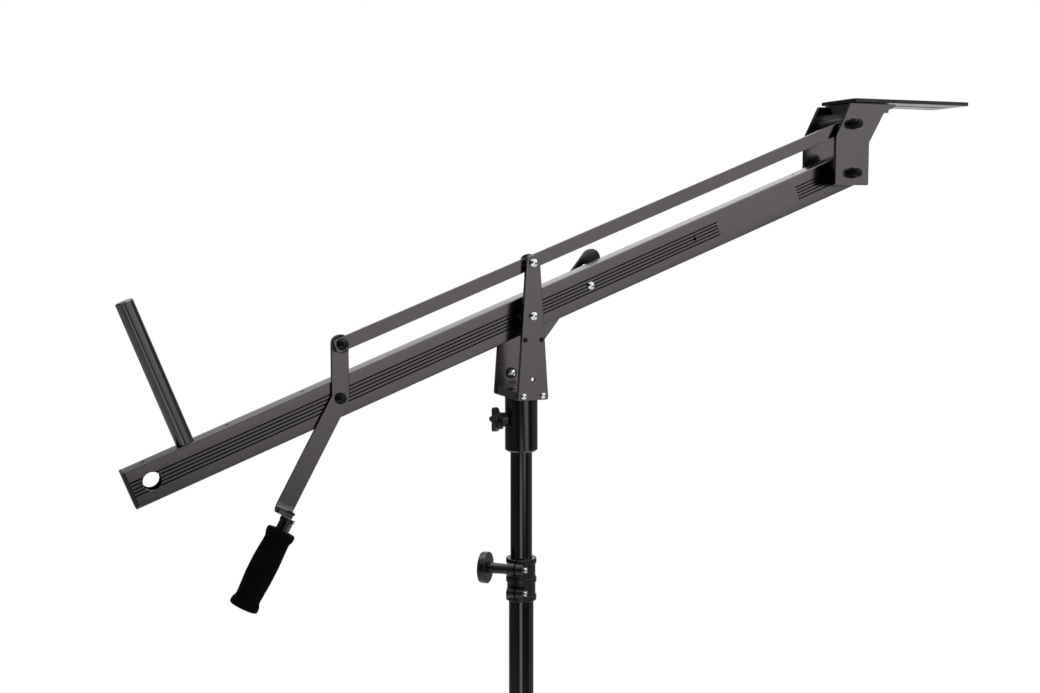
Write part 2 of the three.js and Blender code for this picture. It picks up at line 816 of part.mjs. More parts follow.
// Camera head, kept level by the parallelogram
const head = group(crane, ...onBoom(headPivotReach));
const headOutline = roundedPoints([
  [-headBackHalf, -headFoot, plateCorner],
  [headFrontHalf, -headFoot, plateCorner],
  [headFrontHalf, headShoulder],
  [headNeckX, headNeckZ],
  [headTopFrontX, headTop - headTopLip],
  [headTopFrontX, headTop],
  [headTopBackX, headTop],
  [-headBackHalf, headBackShoulder],
]);
[
  ["head_near_plate", -plateOuter],
  ["head_far_plate", plateInner],
].forEach(([name, near]) => {
  const holes = [0, crankLength].map((z) => circlePoints(0, z, boltHole));
  head.add(meshOf(name, upright(headOutline, holes, near, plateThickness), "satin"));
});
const topPlateBase = headTop + topPlateRise;
const crossTop = topPlateBase - fitGap;
head.add(
  meshOf(
    "head_cross_block",
    level(
      rectangle(crossBlockStart, fitGap - plateInner, crossBlockEnd, plateInner - fitGap),
      [],
      crossTop - crossBlockThickness,
      crossBlockThickness,
    ),
    "satin",
  ),
);
const lapStart = topPlateEnd - lapLength;
const topPlateFull = level(
  rectangle(topPlateStart, -plateOuter, topPlateEnd, plateOuter, plateCorner),
  [],
  topPlateBase,
  topPlateThickness,
);
const lapRoom = box(
  new THREE.Vector3(lapStart, -plateOuter - overrun, topPlateBase - overrun),
  new THREE.Vector3(topPlateEnd + overrun, plateOuter + overrun, topPlateBase + lapThickness),
);
head.add(meshOf("head_top_plate", cut(topPlateFull, [lapRoom]), "gloss"));
const topLevel = topPlateBase + topPlateThickness;
const cameraProfile = upright(
  roundedPoints([
    [lapStart + fitGap, topPlateBase],
    [cameraPlateEnd, topPlateBase, edgeBevel],
    [cameraPlateEnd, topLevel, edgeBevel],
    [topPlateEnd + fitGap, topLevel],
    [topPlateEnd + fitGap, topPlateBase + lapThickness - fitGap],
    [lapStart + fitGap, topPlateBase + lapThickness - fitGap],
  ]),
  [],
  -plateOuter,
  2 * plateOuter,
  0,
);
const cameraPlan = level(
  roundedPoints([
    [lapStart, -plateOuter],
    [cameraPlateEnd, -plateOuter, cameraPlateCorner],
    [cameraPlateEnd, plateOuter, cameraPlateCorner],
    [lapStart, plateOuter],
  ]),
  [taperPoints([cameraSlotStart, 0], cameraSlotWidth / 2, [cameraSlotEnd, 0], cameraSlotWidth / 2)],
  topPlateBase - overrun,
  topPlateThickness + 2 * overrun,
  0,
);
head.add(meshOf("camera_plate", common(cameraProfile, cameraPlan), "gloss"));

[
  ["lower", 0],
  ["upper", crankLength],
].forEach(([place, z]) => {
  const headBolt = cappedBolt(throughLength, headCapWidth, headCapHeight);
  addAt(head, `head_${place}_bolt`, 0, -plateOuter - fitGap, z, headBolt, "plastic");
  addAt(head, `head_${place}_nut`, 0, 0, z, plateNut, "plastic");
});
const crossTube = ringOn(spacerDiameter, pivotBolt, linkFar + swingGap, plateInner - fitGap);
addAt(head, "head_near_spacer", 0, 0, 0, nearSpacer, "plastic");
addAt(head, "head_far_spacer", 0, 0, 0, farSpacer, "plastic");
addAt(head, "head_link_spacer", 0, 0, crankLength, linkSpacer, "plastic");
addAt(head, "head_cross_tube", 0, 0, crankLength, crossTube, "plastic");

// Stand column
const sleeveTop = fulcrumHeight - yokeDrop - fitGap;
const sleeveFoot = sleeveTop - sleeveLength;
const sleeveRadius = sleeveDiameter / 2;
const riserRadius = riserDiameter / 2;
const starKnobZ = fulcrumHeight - starKnobDrop;
const studHole = knobStud / 2 + fitGap;
const studBore = turnedX(rod(studHole, -sleeveDiameter, 0), smallRound).translate(0, 0, starKnobZ);
const sleeveBody = turnedZ([
  [riserRadius + fitGap, sleeveFoot],
  [sleeveRadius - sleeveChamfer, sleeveFoot],
  [sleeveRadius, sleeveFoot + sleeveChamfer],
  [sleeveRadius, sleeveTop],
  [riserRadius + fitGap, sleeveTop],
  [riserRadius + fitGap, sleeveFoot],
], fineRound);
crane.add(meshOf("swivel_sleeve", cut(sleeveBody, [studBore]), "gloss"));

// A knob on a stud that points to +X; its seat is at x = 0
function knobBody(body, neckDiameter, neckLength, studLength) {
  const neck = turnedX([
    [0, -neckLength - edgeBevel],
    [neckDiameter / 2, -neckLength - edgeBevel],
    [neckDiameter / 2 - edgeBevel, 0],
    [0, 0],
  ], smallRound);
  const stud = turnedX(rod(knobStud / 2, -edgeBevel, studLength), smallRound);
  return joined(body.translate(-neckLength - edgeBevel / 2, 0, 0), neck, stud);
}

const starRadius = starKnobDiameter / 2;
const starSteps = 2 * starLobes * cornerSteps;
const starOutline = Array.from({ length: starSteps }, (_, step) => {
  const angle = (2 * Math.PI * step) / starSteps;
  const radius = starRadius * (1 - starLobeShare + starLobeShare * Math.cos(starLobes * angle));
  return new THREE.Vector2(Math.cos(angle), Math.sin(angle)).multiplyScalar(radius);
});
const starBody = drawnAlongX(starOutline, [], -starKnobThickness, starKnobThickness, 2 * edgeBevel);
const starSeat = sleeveRadius + fitGap;
const starKnob = meshOf(
  "star_knob",
  knobBody(starBody, spacerDiameter, starKnobNeck, starSeat - riserRadius - 2 * fitGap),
  "plastic",
);
starKnob.position.set(-starSeat, 0, starKnobZ);
crane.add(starKnob);

const riserTop = sleeveTop - fitGap;
const riserFoot = riserTop - riserLength;
const riserTube = turnedZ(tube(riserRadius, riserRadius - riserWall, riserFoot, riserTop), fineRound);
crane.add(meshOf("riser_tube", riserTube, "gloss"));

// Clamp collar on the lower tube
const collarTop = fulcrumHeight - collarTopDrop;
const collarFoot = collarTop - collarHeight;
const lowerRadius = lowerTubeDiameter / 2;
const collarHalf = collarBody / 2;
const rimRadius = collarRim / 2;
const rimHalf = collarRimHeight / 2;
const collarShell = turnedZ(tube(collarHalf, riserRadius + fitGap, collarFoot, collarTop), fineRound);
const collarRims = [collarHeight - rimHalf, collarMidDrop, rimHalf].map((drop) =>
  turnedZ([
    [riserRadius + fitGap, collarTop - drop - rimHalf],
    [rimRadius - edgeBevel, collarTop - drop - rimHalf],
    [rimRadius, collarTop - drop - rimHalf + edgeBevel],
    [rimRadius, collarTop - drop + rimHalf - edgeBevel],
    [rimRadius - edgeBevel, collarTop - drop + rimHalf],
    [riserRadius + fitGap, collarTop - drop + rimHalf],
    [riserRadius + fitGap, collarTop - drop - rimHalf],
  ], fineRound),
);
const bossFrom = bossShift - bossLength / 2;
const bossTo = bossShift + bossLength / 2;
const bossSizes = [
  [upperBossDrop, upperBossDiameter],
  [lowerBossDrop, lowerBossDiameter],
];
const bosses = bossSizes.map(([drop, width]) =>
  turnedX(rod(width / 2, bossFrom, bossTo), mediumRound).translate(0, -bossFront, collarTop - drop),
);
const tubeSeat = turnedZ(rod(lowerRadius + fitGap, collarFoot - overrun, collarTop - collarSeat), fineRound);
const riserWay = turnedZ(rod(riserRadius + fitGap, collarFoot - overrun, collarTop + overrun), fineRound);
const slit = box(
  new THREE.Vector3(bossShift - slitWidth / 2, -bossFront - upperBossDiameter, collarFoot - overrun),
  new THREE.Vector3(bossShift + slitWidth / 2, 0, collarTop + overrun),
);
const bossBore = turnedX(rod(studHole, bossFrom - overrun, bossTo + overrun), smallRound);
const bossBores = bossSizes.map(([drop]) => bossBore.clone().translate(0, -bossFront, collarTop - drop));
const collarShape = cut(joined(collarShell, ...collarRims, ...bosses), [tubeSeat, riserWay, slit, ...bossBores]);
const clamp = group(crane, 0, 0, 0);
clamp.rotation.z = collarTurn;
clamp.add(meshOf("clamp_collar", collarShape, "plastic"));
const roundNeck = roundKnobFace - roundKnobThickness + bossFrom;
const roundRadius = roundKnobDiameter / 2;
const roundBody = turnedX([
  [0, -roundKnobThickness],
  [roundRadius - roundKnobRound, -roundKnobThickness],
  [roundRadius - edgeBevel, edgeBevel - roundKnobThickness],
  [roundRadius, roundKnobRound - roundKnobThickness],
  [roundRadius, -edgeBevel],
  [roundRadius - edgeBevel, 0],
  [0, 0],
], fineRound);
const roundKnob = knobBody(roundBody, roundKnobNeckDiameter, roundNeck, bossLength - fitGap);
addAt(clamp, "round_knob", bossFrom - fitGap, -bossFront, collarTop - upperBossDrop, roundKnob, "plastic");
const lowerTubeTop = collarTop - collarSeat - fitGap;
const ringDrop = 2 * legStrutPoint * Math.cos(legSpread);
const lowerTubeFoot = legPivotHeight - ringDrop - ringHeight / 2 - tubeStub;
const lowerBore = lowerRadius - lowerTubeWall;
const lowerTube = turnedZ(tube(lowerRadius, lowerBore, lowerTubeFoot, lowerTubeTop), fineRound);
crane.add(meshOf("lower_tube", lowerTube, "gloss"));

// Folding base: three legs on a sliding hub, three struts on a ring at the tube's end
const cheekNear = legTongueThickness / 2 + swingGap;
const cheekFar = cheekNear + cheekThickness;
const hub = group(crane, 0, 0, legPivotHeight);
const hubBore = lowerRadius + fitGap;
const hubShell = turnedZ(tube(hubBore + hubWall, hubBore, -hubHeight / 2, hubHeight / 2), fineRound);
const hubPieces = [hubShell];
const ring = group(crane, 0, 0, legPivotHeight - ringDrop);
const ringPieces = [turnedZ(tube(hubBore + hubWall, hubBore, -ringHeight / 2, ringHeight / 2), fineRound)];
const barNear = legDiameter / 2 + swingGap;
const barFar = barNear + strutBarThickness;
const lugHalf = hubHeight * lugShare;
for (let index = 0; index < legCount; index += 1) {
  const azimuth = (2 * Math.PI * index) / legCount + Math.PI / 2;
  const towards = new THREE.Matrix4().makeRotationZ(azimuth);
  const cheek = (near, half) =>
    upright(
      roundedPoints([
        [hubBore + hubWall / 2, -half],
        [legPivotRadius + half, -half, half - edgeBevel],
        [legPivotRadius + half, half, half - edgeBevel],
        [hubBore + hubWall / 2, half],
      ]),
      [],
      near,
      cheekThickness,
      0,
    );
  const pin = boreY(legPivotRadius, 0, legPin / 2, -cheekFar + edgeBevel, cheekFar - edgeBevel);
  [cheek(-cheekFar, lugHalf), cheek(cheekNear, lugHalf), pin].forEach((piece) => {
    hubPieces.push(piece.applyMatrix4(towards));
  });
  const lugNear = barNear - swingGap - cheekThickness;
  const ringPin = boreY(legPivotRadius, 0, legPin, lugNear + edgeBevel, barNear - fitGap);
  [cheek(lugNear, ringHeight / 2 - edgeBevel), ringPin].forEach((piece) => {
    ringPieces.push(piece.applyMatrix4(towards));
  });

  // A leg runs down along -Z of its own group before it is spread
  const letter = "abc"[index];
  const turnedBase = group(hub, 0, 0, 0);
  turnedBase.rotation.z = azimuth;
  const leg = group(turnedBase, legPivotRadius, 0, 0);
  leg.rotation.y = -legSpread;
  const legLength = legPivotHeight / Math.cos(legSpread);
  const footRadius = legDiameter / 2 + footWall;
  const legEnd = legLength - footRadius * Math.tan(legSpread) - footWall;
  const tongue = upright(
    taperPoints([0, -legTongueLength - overrun], legTongueHalf, [0, 0], legTongueHalf),
    [circlePoints(0, 0, legPin / 2 + fitGap)],
    -legTongueThickness / 2,
    legTongueThickness,
  );
  const shank = turnedZ(rod(legDiameter / 2, -legEnd, -legTongueLength), mediumRound);
  const boreTop = -legTongueLength - legTongueHalf;
  const bore = turnedZ(rod(legDiameter / 2 - legWall, -legEnd - overrun, boreTop), mediumRound);
  const legPinBody = boreY(0, -legStrutPoint, legPin / 2, 0, barFar + strutBarThickness / 2);
  leg.add(meshOf(`leg_${letter}`, joined(tongue, cut(shank, [bore]), legPinBody), "gloss"));
  const footTop = -legEnd + footLength;
  leg.add(
    meshOf(
      `foot_${letter}`,
      turnedZ([
        [0, -legEnd - fitGap - footWall],
        [footRadius - footWall, -legEnd - fitGap - footWall],
        [footRadius, -legEnd],
        [footRadius, footTop],
        [legDiameter / 2 + fitGap, footTop],
        [legDiameter / 2 + fitGap, -legEnd - fitGap],
        [0, -legEnd - fitGap],
      ]),
      "rubber",
    ),
  );
  const bar = group(leg, 0, 0, -legStrutPoint);
  bar.rotation.y = 2 * legSpread;
  const barBody = upright(
    taperPoints([0, -legStrutPoint], strutBarWidth / 2, [0, 0], strutBarWidth / 2),
    [circlePoints(0, 0, legPin / 2 + swingGap)],
    barNear,
    strutBarThickness,
    0,
  );
  const rivet = boreY(0, -legStrutPoint, legPin, barFar - edgeBevel, barFar + 2 * edgeBevel);
  bar.add(meshOf(`strut_${letter}`, joined(barBody, rivet), "gloss"));
}
const hubStudAngle = Math.PI / legCount;
const hubStud = turnedX(rod(studHole, 0, hubKnobReach), smallRound).rotateZ(Math.PI / 2 + hubStudAngle);
hub.add(meshOf("leg_hub", cut(joined(...hubPieces), [hubStud]), "plastic"));
ring.add(meshOf("strut_ring", joined(...ringPieces), "plastic"));
const hubKnobTurn = group(hub, 0, 0, 0);
hubKnobTurn.rotation.z = Math.PI / 2 + hubStudAngle + Math.PI;
const hubSeat = hubBore + hubWall + fitGap;
const hubKnobBody = turnedX([
  [0, -roundKnobThickness],
  [hubKnobDiameter / 2 - edgeBevel, -roundKnobThickness],
  [hubKnobDiameter / 2, -roundKnobThickness + edgeBevel],
  [hubKnobDiameter / 2, 0],
  [0, 0],
], mediumRound);
const hubNeck = hubKnobReach - hubSeat - roundKnobThickness;
const hubKnob = knobBody(hubKnobBody, roundKnobNeckDiameter, hubNeck, hubWall + fitGap);
addAt(hubKnobTurn, "hub_knob", -hubSeat, 0, 0, hubKnob, "plastic");

export default crane;
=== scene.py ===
import bpy, bmesh, math
from mathutils import Matrix, Vector, noise


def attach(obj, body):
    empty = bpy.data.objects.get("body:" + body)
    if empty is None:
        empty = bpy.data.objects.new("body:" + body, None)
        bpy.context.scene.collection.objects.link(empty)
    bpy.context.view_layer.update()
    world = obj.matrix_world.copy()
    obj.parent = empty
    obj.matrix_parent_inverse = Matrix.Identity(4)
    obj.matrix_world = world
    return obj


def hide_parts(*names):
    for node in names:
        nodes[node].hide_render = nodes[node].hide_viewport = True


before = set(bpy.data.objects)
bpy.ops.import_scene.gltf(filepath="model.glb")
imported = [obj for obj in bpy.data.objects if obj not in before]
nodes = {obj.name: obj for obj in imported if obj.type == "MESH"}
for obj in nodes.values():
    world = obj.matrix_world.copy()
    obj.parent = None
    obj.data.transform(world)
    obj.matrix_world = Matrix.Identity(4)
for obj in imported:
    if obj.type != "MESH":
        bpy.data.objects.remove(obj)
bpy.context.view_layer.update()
print("crane: frame loaded,", len(nodes), "nodes")


def mm(*values):
    return Vector([value / 1000 for value in values])


# Materials
def newMaterial(name):
    material = bpy.data.materials.new(name)
    material.use_nodes = True
    tree = material.node_tree
    shader = tree.nodes["Principled BSDF"]
    coords = tree.nodes.new("ShaderNodeTexCoord")
    return material, tree, shader, coords


def addNoise(tree, coords, scale, detail=4):
    texture = tree.nodes.new("ShaderNodeTexNoise")
    texture.inputs["Scale"].default_value = scale
    texture.inputs["Detail"].default_value = detail
    tree.links.new(coords.outputs["Object"], texture.inputs["Vector"])
    return texture


def remap(tree, source, low, high, fromLow=0.3, fromHigh=0.7):
    node = tree.nodes.new("ShaderNodeMapRange")
    node.inputs["From Min"].default_value = fromLow
    node.inputs["From Max"].default_value = fromHigh
    node.inputs["To Min"].default_value = low
    node.inputs["To Max"].default_value = high
    tree.links.new(source, node.inputs["Value"])
    return node


def addBump(tree, shader, source, strength, distance):
    bump = tree.nodes.new("ShaderNodeBump")
    bump.inputs["Strength"].default_value = strength
    bump.inputs["Distance"].default_value = distance
    tree.links.new(source, bump.inputs["Height"])
    tree.links.new(bump.outputs["Normal"], shader.inputs["Normal"])


def surface(name, look):
    material, tree, shader, coords = newMaterial(name)
    broad = addNoise(tree, coords, look["patchScale"], 3)
    mix = tree.nodes.new("ShaderNodeMix")
    mix.data_type = "RGBA"
    mix.inputs["A"].default_value = (*look["dark"], 1)
    mix.inputs["B"].default_value = (*look["light"], 1)
    tree.links.new(remap(tree, broad.outputs["Fac"], 0, 1).outputs["Result"], mix.inputs["Factor"])
    tree.links.new(mix.outputs["Result"], shader.inputs["Base Color"])
    rough = remap(tree, broad.outputs["Fac"], look["roughLow"], look["roughHigh"])
    tree.links.new(rough.outputs["Result"], shader.inputs["Roughness"])
    shader.inputs["Metallic"].default_value = look.get("metallic", 0)
    shader.inputs["Specular IOR Level"].default_value = look.get("specular", 0.5)
    if look.get("bump"):
        grain = addNoise(tree, coords, look["grainScale"], 5)
        addBump(tree, shader, grain.outputs["Fac"], look["bump"], look["bumpDepth"])
    return material


looks = {
    # hard anodised aluminium of boom, plates, link and lever: a dark smooth mirror
    "anodised": dict(dark=(0.117, 0.109, 0.1063), light=(0.131, 0.1218, 0.119), patchScale=6,
                     roughLow=0.16, roughHigh=0.21, metallic=1),
    # painted shade on the walls and floors of the boom's grooves: near black and without gloss
    "groove": dict(dark=(0.001, 0.001, 0.001), light=(0.0016, 0.0015, 0.0015), patchScale=9,
                   roughLow=0.85, roughHigh=0.95, specular=0.0),
    # smooth black coat of tubes, sleeve and rod
    "blackCoat": dict(dark=(0.0022, 0.0022, 0.0024), light=(0.003, 0.003, 0.0032), patchScale=9,
                      roughLow=0.1, roughHigh=0.14, specular=1.0),
    # moulded knobs, collar and caps
    "plastic": dict(dark=(0.0035, 0.0035, 0.0035), light=(0.005, 0.0048, 0.0047), patchScale=25, grainScale=1200,
                    roughLow=0.28, roughHigh=0.36, bump=0.06, bumpDepth=0.0001, specular=0.5),
    # domed bolt caps and the clamp lever: deeper black
    "blackSteel": dict(dark=(0.004, 0.004, 0.004), light=(0.006, 0.006, 0.006), patchScale=40,
                       roughLow=0.3, roughHigh=0.34, specular=0.18),
    "chrome": dict(dark=(0.78, 0.78, 0.79), light=(0.86, 0.86, 0.87), patchScale=40,
                   roughLow=0.1, roughHigh=0.16, metallic=1),
    "foam": dict(dark=(0.0018, 0.0018, 0.0018), light=(0.0034, 0.0033, 0.0033), patchScale=60, grainScale=1500,
                 roughLow=0.9, roughHigh=1.0, bump=0.6, bumpDepth=0.0004, specular=0.06),
    "rubber": dict(dark=(0.006, 0.006, 0.006), light=(0.01, 0.01, 0.01), patchScale=50, grainScale=700,
                   roughLow=0.65, roughHigh=0.8, bump=0.2, bumpDepth=0.0003, specular=0.3),
}
materials = {name: surface(name, look) for name, look in looks.items()}


def matches(name, starts):
    return any(name.startswith(start) for start in starts)


groups = {
    "anodised": ["boom_beam", "link_bar", "lever_strap", "yoke_near", "yoke_far", "yoke_base", "brake_strut",
                 "head_near_plate", "head_far_plate", "head_cross_block"],
    "blackCoat": ["swivel_sleeve", "riser", "lower_tube", "weight_rod", "handle_rod", "leg_a", "leg_b", "leg_c",
                  "strut_a", "strut_b", "strut_c"],
    "blackSteel": ["lever_lower_bolt", "lever_upper_bolt", "head_lower_bolt", "head_upper_bolt",
                   "head_lower_nut", "head_upper_nut", "clamp_lever"],
    "chrome": ["yoke_foot", "fulcrum_bolt", "fulcrum_nut", "yoke_link_bolt", "brake_strut_bolt", "clamp_bolt",
               "lever_lower_nut"],
    "foam": ["foam_grip"],
    "rubber": ["foot_"],
}
for name, node in nodes.items():
    chosen = next((key for key in ("chrome", "blackSteel", "foam", "rubber", "anodised", "blackCoat")
                   if matches(name, groups[key])), "plastic")
    node.data.materials.clear()
    node.data.materials.append(materials[chosen])
    for polygon in node.data.polygons:
        polygon.use_smooth = True
print("crane: materials on the nodes")


# Smooth shading, split at the real edges
def shadeByAngle(obj, degrees=32):
    limit = math.radians(degrees)
    mesh = obj.data
    build = bmesh.new()
    build.from_mesh(mesh)
    sharp = [not edge.is_manifold or edge.calc_face_angle(0) > limit for edge in build.edges]
    build.free()
    attribute = mesh.attributes.get("sharp_edge") or mesh.attributes.new("sharp_edge", "BOOLEAN", "EDGE")
    attribute.data.foreach_set("value", sharp)


# The same for the frame's own pieces: their triangles come in one by one, so a modifier welds them first
def roundShading(degrees=32):
    group = bpy.data.node_groups.new("roundShading", "GeometryNodeTree")
    group.interface.new_socket("Geometry", in_out="INPUT", socket_type="NodeSocketGeometry")
    group.interface.new_socket("Geometry", in_out="OUTPUT", socket_type="NodeSocketGeometry")
    source = group.nodes.new("NodeGroupInput")
    plain = group.nodes.new("GeometryNodeRemoveAttribute")
    plain.inputs["Name"].default_value = "custom_normal"
    weld = group.nodes.new("GeometryNodeMergeByDistance")
    weld.inputs["Distance"].default_value = 0.000001
    bend = group.nodes.new("GeometryNodeInputMeshEdgeAngle")
    edge = group.nodes.new("FunctionNodeCompare")
    edge.operation = "GREATER_THAN"
    edge.inputs["B"].default_value = math.radians(degrees)
    shade = group.nodes.new("GeometryNodeSetShadeSmooth")
    shade.domain = "EDGE"
    shade.inputs["Shade Smooth"].default_value = False
    result = group.nodes.new("NodeGroupOutput")
    group.links.new(source.outputs["Geometry"], plain.inputs["Geometry"])
    group.links.new(plain.outputs["Geometry"], weld.inputs["Geometry"])
    group.links.new(weld.outputs["Geometry"], shade.inputs["Geometry"])
    group.links.new(bend.outputs["Unsigned Angle"], edge.inputs["A"])
    group.links.new(edge.outputs["Result"], shade.inputs["Selection"])
    group.links.new(shade.outputs["Geometry"], result.inputs["Geometry"])
    return group


smoother = roundShading()
for node in nodes.values():
    node.modifiers.new("roundShading", "NODES").node_group = smoother
    # wide flats stay flat beside their rounded corners
    flats = node.modifiers.new("flats", "WEIGHTED_NORMAL")
    flats.keep_sharp = True
    flats.weight = 100

# where things are, read off the frame: the boom turns about the fulcrum
crane = {"fulcrum": 1300, "tilt": 21.33, "boomNear": -15.875, "plateNear": -47.625, "plateFar": 47.625}
along = Vector((math.cos(math.radians(crane["tilt"])), 0, math.sin(math.radians(crane["tilt"]))))
upward = Vector((-along.z, 0, along.x))

# painted shade inside the boom's grooves: their walls and floors, which lie just under both sides, get the near-black
# second slot
grooves = {"from": 0.05, "to": 1.5, "half": 11.2}
boom = nodes["boom_beam"]
boom.data.materials.append(materials["groove"])
for polygon in boom.data.polygons:
    middle = boom.matrix_world @ polygon.center * 1000
    under = -crane["boomNear"] - abs(middle.y)
    rise = (middle - Vector((0, 0, crane["fulcrum"]))).dot(upward)
    if grooves["from"] < under < grooves["to"] and abs(rise) < grooves["half"]:
        polygon.material_index = 1


# Small pieces that ride on the crane
def bridge(build, loops):
    for low, high in zip(loops, loops[1:]):
        for step in range(len(low)):
            after = (step + 1) % len(low)
            build.faces.new((low[step], low[after], high[after], high[step]))


def meshFrom(build, name, smooth=True):
    bmesh.ops.recalc_face_normals(build, faces=build.faces)
    mesh = bpy.data.meshes.new(name)
    build.to_mesh(mesh)
    build.free()
    for polygon in mesh.polygons:
        polygon.use_smooth = smooth
    return mesh


def ringPoint(radius, angle, hexagon):
    if hexagon:
        radius *= math.cos(math.pi / 6) / math.cos(angle % (math.pi / 3) - math.pi / 6)
    return radius * math.cos(angle), radius * math.sin(angle)


def turnedMesh(name, rings, around=24):
    # rings are [radius, station] or [radius, station, True] for a hexagon, in mm along +Z, from tip to tip
    build = bmesh.new()
    loops = []
    for ring in rings:
        hexagon = len(ring) > 2
        loops.append([build.verts.new(mm(*ringPoint(ring[0], 2 * math.pi * step / around, hexagon), ring[1]))
                      for step in range(around)])
    bridge(build, loops)
    build.faces.new(list(reversed(loops[0])))
    build.faces.new(loops[-1])
    return meshFrom(build, name)


def addPiece(name, mesh, body, material, place, along=(0, 0, 1), spin=0):
    piece = bpy.data.objects.new(name, mesh)
    bpy.context.collection.objects.link(piece)
    turn = Vector((0, 0, 1)).rotation_difference(Vector(along)).to_matrix().to_4x4()
    piece.matrix_world = Matrix.Translation(place) @ turn @ Matrix.Rotation(spin, 4, "Z")
    mesh.materials.append(materials[material])
    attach(piece, body)
    shadeByAngle(piece)
    return piece


def onBoom(station, rise, y):
    return mm(0, y, crane["fulcrum"]) + (along * station + upward * rise) / 1000


# recessed socket screws of the yoke's near plate
recessed = {"side": 13, "drop": 35.3, "head": 3.3, "seat": 45.6, "spin": 0.4}
for side in (-1, 1):
    head = recessed["head"]
    rings = [[head, 0], [head, 1.2], [head - 0.5, 1.6], [1.5, 1.6], [1.5, 0.7, True], [0.2, 0.7, True]]
    addPiece("yoke_recessed_screw_" + ("rear" if side < 0 else "front"), turnedMesh("recessedScrew", rings), "yoke",
             "blackSteel", mm(recessed["side"] * side, -recessed["seat"], crane["fulcrum"] - recessed["drop"]),
             (0, -1, 0), recessed["spin"])

# dark ring and nut round the strut's bolt
strutScrew = {"drop": 93, "ring": 8.6, "ringBore": 7.3, "nut": 7.5, "nutHeight": 5.8, "outside": 53.2,
              "inside": 41.24}
ring, bore = strutScrew["ring"], strutScrew["ringBore"]
rings = [[ring - 0.5, 0], [ring, 0.4], [ring, 1.4], [ring - 0.6, 1.9], [bore, 1.9], [bore, 0.8]]
addPiece("strut_pivot_ring", turnedMesh("pivotRing", rings), "yoke", "plastic",
         mm(0, strutScrew["inside"], crane["fulcrum"] - strutScrew["drop"]), (0, -1, 0))
nut, high = strutScrew["nut"], strutScrew["nutHeight"]
rings = [[nut - 1.3, 0], [nut - 0.1, 0.3, True], [nut, 0.6, True], [nut, high - 0.6, True], [nut - 1.2, high],
         [4.1, high], [4.1, high - 0.4]]
addPiece("strut_pivot_nut", turnedMesh("pivotNut", rings, 36), "yoke", "chrome",
         mm(0, strutScrew["outside"] + 0.25, crane["fulcrum"] - strutScrew["drop"]), (0, 1, 0))

# screws that hold the block on the sleeve, seen on the block's top
blockScrew = {"side": 18, "drop": 112.3, "head": 5.6, "height": 2.6}
for side in (-1, 1):
    head = blockScrew["head"]
    rings = [[head, 0], [head, 1.2], [head - 1, 2.2], [head - 2.6, 2.6], [1.7, 2.6], [1.7, 1.2, True], [0.2, 1.2, True]]
    addPiece("block_screw_" + ("rear" if side < 0 else "front"), turnedMesh("blockScrew", rings), "yoke", "blackSteel",
             mm(blockScrew["side"] * side, 0, crane["fulcrum"] - blockScrew["drop"] + 0.02))

# clamp collar's screws; the collar is turned about the column
collarScrew = {"drops": (385.7, 421.6), "x": 12.25, "y": -24, "turn": -39.5, "head": 4.6, "height": 4.2}
collarTurn = Matrix.Rotation(math.radians(collarScrew["turn"]), 3, "Z")
for number, drop in enumerate(collarScrew["drops"]):
    head, high = collarScrew["head"], collarScrew["height"]
    rings = [[head - 0.2, 0], [head, 0.3], [head, high - 0.5], [head - 0.5, high], [2.2, high], [2.2, high - 2, True],
             [0.2, high - 2, True]]
    addPiece("collar_screw_" + str(number + 1), turnedMesh("collarScrew", rings), "stand_base", "chrome",
             collarTurn @ mm(collarScrew["x"] + 0.02, collarScrew["y"], crane["fulcrum"] - drop),
             collarTurn @ Vector((1, 0, 0)), 0.3)

# the handle's nut and the screw through the lever's flange
handle = {"kink": 28.4, "pivot": 306.7, "flange": 182, "x": 8, "y": -32.375, "nut": 11.2, "nutHeight": 6,
          "screw": 6.8, "screwHeight": 3.6, "socket": 2.1}
pivot = onBoom(-handle["pivot"], 0, 0)
kink = math.radians(handle["kink"])
handleX = Vector((math.cos(kink), 0, -math.sin(kink)))
handleZ = Vector((math.sin(kink), 0, math.cos(kink)))


def onHandle(x, y, z):
    return pivot + (handleX * x + handleZ * z) / 1000 + mm(0, y, 0)


nut, high = handle["nut"], handle["nutHeight"]
rings = [[nut - 0.6, 0, True], [nut, 0.5, True], [nut, high - 0.6, True], [nut - 0.6, high, True]]
addPiece("handle_nut", turnedMesh("handleNut", rings, 36), "lever", "blackSteel",
         onHandle(handle["x"], handle["y"], -handle["flange"] - high - 0.5), handleZ)
screw, high, socket = handle["screw"], handle["screwHeight"], handle["socket"]
rings = [[screw - 0.2, 0], [screw, 0.4], [screw - 0.4, high - 1.4], [screw - 2.2, high - 0.2], [socket, high],
         [socket, high - 1.6, True], [0.2, high - 1.6, True]]
addPiece("handle_screw", turnedMesh("handleScrew", rings), "lever", "blackSteel",
         onHandle(handle["x"], handle["y"], -handle["flange"] + 6.02), handleZ)

# bare plate on the boom, where such cranes carry their name
namePlate = {"from": 351.5, "to": 506, "low": -12.8, "high": 11.7, "thick": 0.7, "corner": 2.5}


